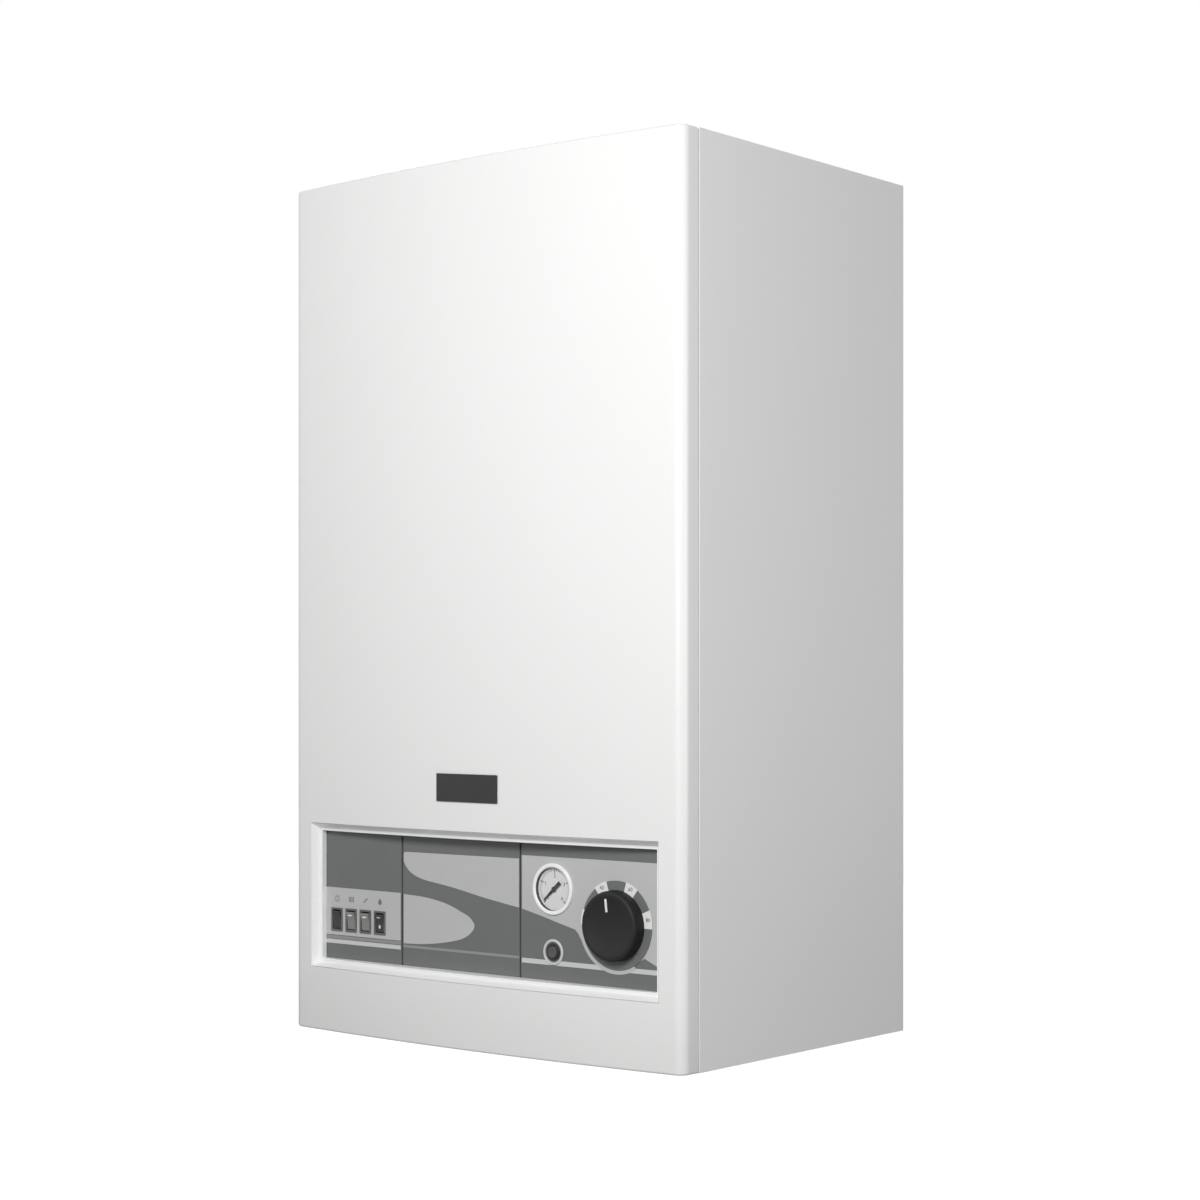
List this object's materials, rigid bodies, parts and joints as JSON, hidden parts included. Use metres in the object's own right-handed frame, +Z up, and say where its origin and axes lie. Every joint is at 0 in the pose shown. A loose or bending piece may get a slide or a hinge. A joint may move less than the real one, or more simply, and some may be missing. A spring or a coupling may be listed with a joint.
{
  "type": "electric boiler",
  "caption": "Wall-hung electric boiler: tall white casing with a bowed front cover, a recessed control panel with switches, gauge and knob, and its exchanger, pump and vessel inside",
  "frame": {"origin": "middle of the wall bracket's rear face, on the wall", "axes": "+X to the right seen from the front, -Y out of the front, +Z up"},
  "size_m": [0.41, 0.3135, 0.7],
  "materials": {
    "white_paint": "satin",
    "zinc_sheet": "satin",
    "white_plastic": "satin",
    "badge_plastic": "satin",
    "carrier_plastic": "matt",
    "module_plastic": "satin",
    "black_plastic": "satin",
    "rocker_dark": "gloss",
    "rocker_lens": "gloss",
    "dial_face": "matt",
    "gauge_glass": "clear",
    "grey_plastic": "satin",
    "light_plastic": "satin",
    "cream_plastic": "satin",
    "tank_steel": "satin",
    "insulation_foam": "matt",
    "brass": "satin",
    "red_paint": "satin",
    "membrane_rubber": "matt",
    "copper": "satin",
    "cast_iron": "rough",
    "motor_paint": "satin",
    "red_plastic": "satin",
    "board_green": "satin"
  },
  "bodies": {
    "casing": {"left_side_panel": "white_paint", "right_side_panel": "white_paint", "top_panel": "white_paint", "bottom_plate": "zinc_sheet", "back_plate": "zinc_sheet", "wall_bracket": "zinc_sheet", "electrics_plate": "zinc_sheet", "exchanger_bracket": "zinc_sheet", "gauge_case": "zinc_sheet", "gauge_bezel": "white_plastic", "panel_carrier": "carrier_plastic", "switch_module": "module_plastic", "centre_flap": "module_plastic", "dial_module": "module_plastic", "switch_body_1": "black_plastic", "switch_body_2": "black_plastic", "switch_body_3": "black_plastic", "switch_body_4": "black_plastic", "contactor": "black_plastic", "gauge_dial": "dial_face", "gauge_lens": "gauge_glass", "scale_ring": "grey_plastic", "cable_gland": "grey_plastic", "reset_collar": "light_plastic", "thermostat_body": "cream_plastic", "limiter_body": "cream_plastic", "terminal_block": "cream_plastic", "heat_exchanger": "tank_steel", "exchanger_insulation": "insulation_foam", "immersion_heater": "brass", "air_vent": "brass", "safety_valve": "brass", "drain_cock": "brass", "vessel_rear_shell": "red_paint", "vessel_front_shell": "red_paint", "vessel_membrane": "membrane_rubber", "vessel_hose": "copper", "return_pipe": "copper", "pump_pipe": "copper", "flow_pipe": "copper", "pump_volute": "cast_iron", "pump_motor": "motor_paint", "control_board": "board_green"},
    "front_cover": {"front_cover": "white_paint", "window_bezel": "white_plastic", "badge_plate": "badge_plastic"},
    "rocker_1": {"rocker_1": "rocker_dark"},
    "rocker_2": {"rocker_2": "rocker_lens"},
    "rocker_3": {"rocker_3": "rocker_lens"},
    "rocker_4": {"rocker_4": "rocker_dark"},
    "gauge_pointer": {"gauge_pointer": "black_plastic"},
    "thermostat_knob": {"thermostat_knob": "black_plastic"},
    "reset_button": {"reset_button": "grey_plastic"},
    "pump_rotor": {"pump_rotor": "tank_steel"},
    "contactor_armature": {"contactor_armature": "grey_plastic"},
    "safety_valve_cap": {"safety_valve_cap": "red_plastic"},
    "drain_cock_lever": {"drain_cock_lever": "red_plastic"},
    "air_vent_cap": {"air_vent_cap": "black_plastic"}
  },
  "joints": [
    {"name": "cover_slide", "type": "slide", "parent": "casing", "child": "front_cover", "axis": [0, -1, 0], "range_m": [0, 0.25]},
    {"name": "rocker_1_pivot", "type": "hinge", "parent": "casing", "child": "rocker_1", "pos_m": [-0.16455, -0.2907, -0.5637], "axis": [-1, 0, 0], "range_deg": [0, 20]},
    {"name": "rocker_2_pivot", "type": "hinge", "parent": "casing", "child": "rocker_2", "pos_m": [-0.14805, -0.2907, -0.5637], "axis": [-1, 0, 0], "range_deg": [0, 20]},
    {"name": "rocker_3_pivot", "type": "hinge", "parent": "casing", "child": "rocker_3", "pos_m": [-0.13155, -0.2907, -0.5637], "axis": [-1, 0, 0], "range_deg": [0, 20]},
    {"name": "rocker_4_pivot", "type": "hinge", "parent": "casing", "child": "rocker_4", "pos_m": [-0.11505, -0.2907, -0.5637], "axis": [-1, 0, 0], "range_deg": [0, 20]},
    {"name": "pointer_spin", "type": "hinge", "parent": "casing", "child": "gauge_pointer", "pos_m": [0.0715, -0.2896, -0.5255], "axis": [0, 1, 0], "range_deg": [0, 250]},
    {"name": "knob_turn", "type": "hinge", "parent": "casing", "child": "thermostat_knob", "pos_m": [0.1345, -0.2915, -0.5495], "axis": [0, 1, 0], "range_deg": [-123, 147]},
    {"name": "reset_press", "type": "slide", "parent": "casing", "child": "reset_button", "axis": [0, 1, 0], "range_m": [0, 0.0018], "stiffness_N_per_m": 300, "springref_m": -0.001},
    {"name": "pump_spin", "type": "hinge", "parent": "casing", "child": "pump_rotor", "pos_m": [0.115, -0.099, -0.465], "axis": [0, 1, 0], "continuous": true},
    {"name": "armature_pull", "type": "slide", "parent": "casing", "child": "contactor_armature", "axis": [0, 1, 0], "range_m": [0, 0.002], "stiffness_N_per_m": 400, "springref_m": -0.001},
    {"name": "test_cap_turn", "type": "hinge", "parent": "casing", "child": "safety_valve_cap", "pos_m": [-0.0717, -0.2011, -0.455], "axis": [0, -1, 0], "range_deg": [0, 90]},
    {"name": "drain_lever_turn", "type": "hinge", "parent": "casing", "child": "drain_cock_lever", "pos_m": [0.115, -0.1253, -0.5764], "axis": [0, 0, -1], "range_deg": [0, 90]},
    {"name": "vent_cap_turn", "type": "hinge", "parent": "casing", "child": "air_vent_cap", "pos_m": [-0.1147, -0.1788, -0.0124], "axis": [0, 0, 1], "range_deg": [0, 360]}
  ]
}
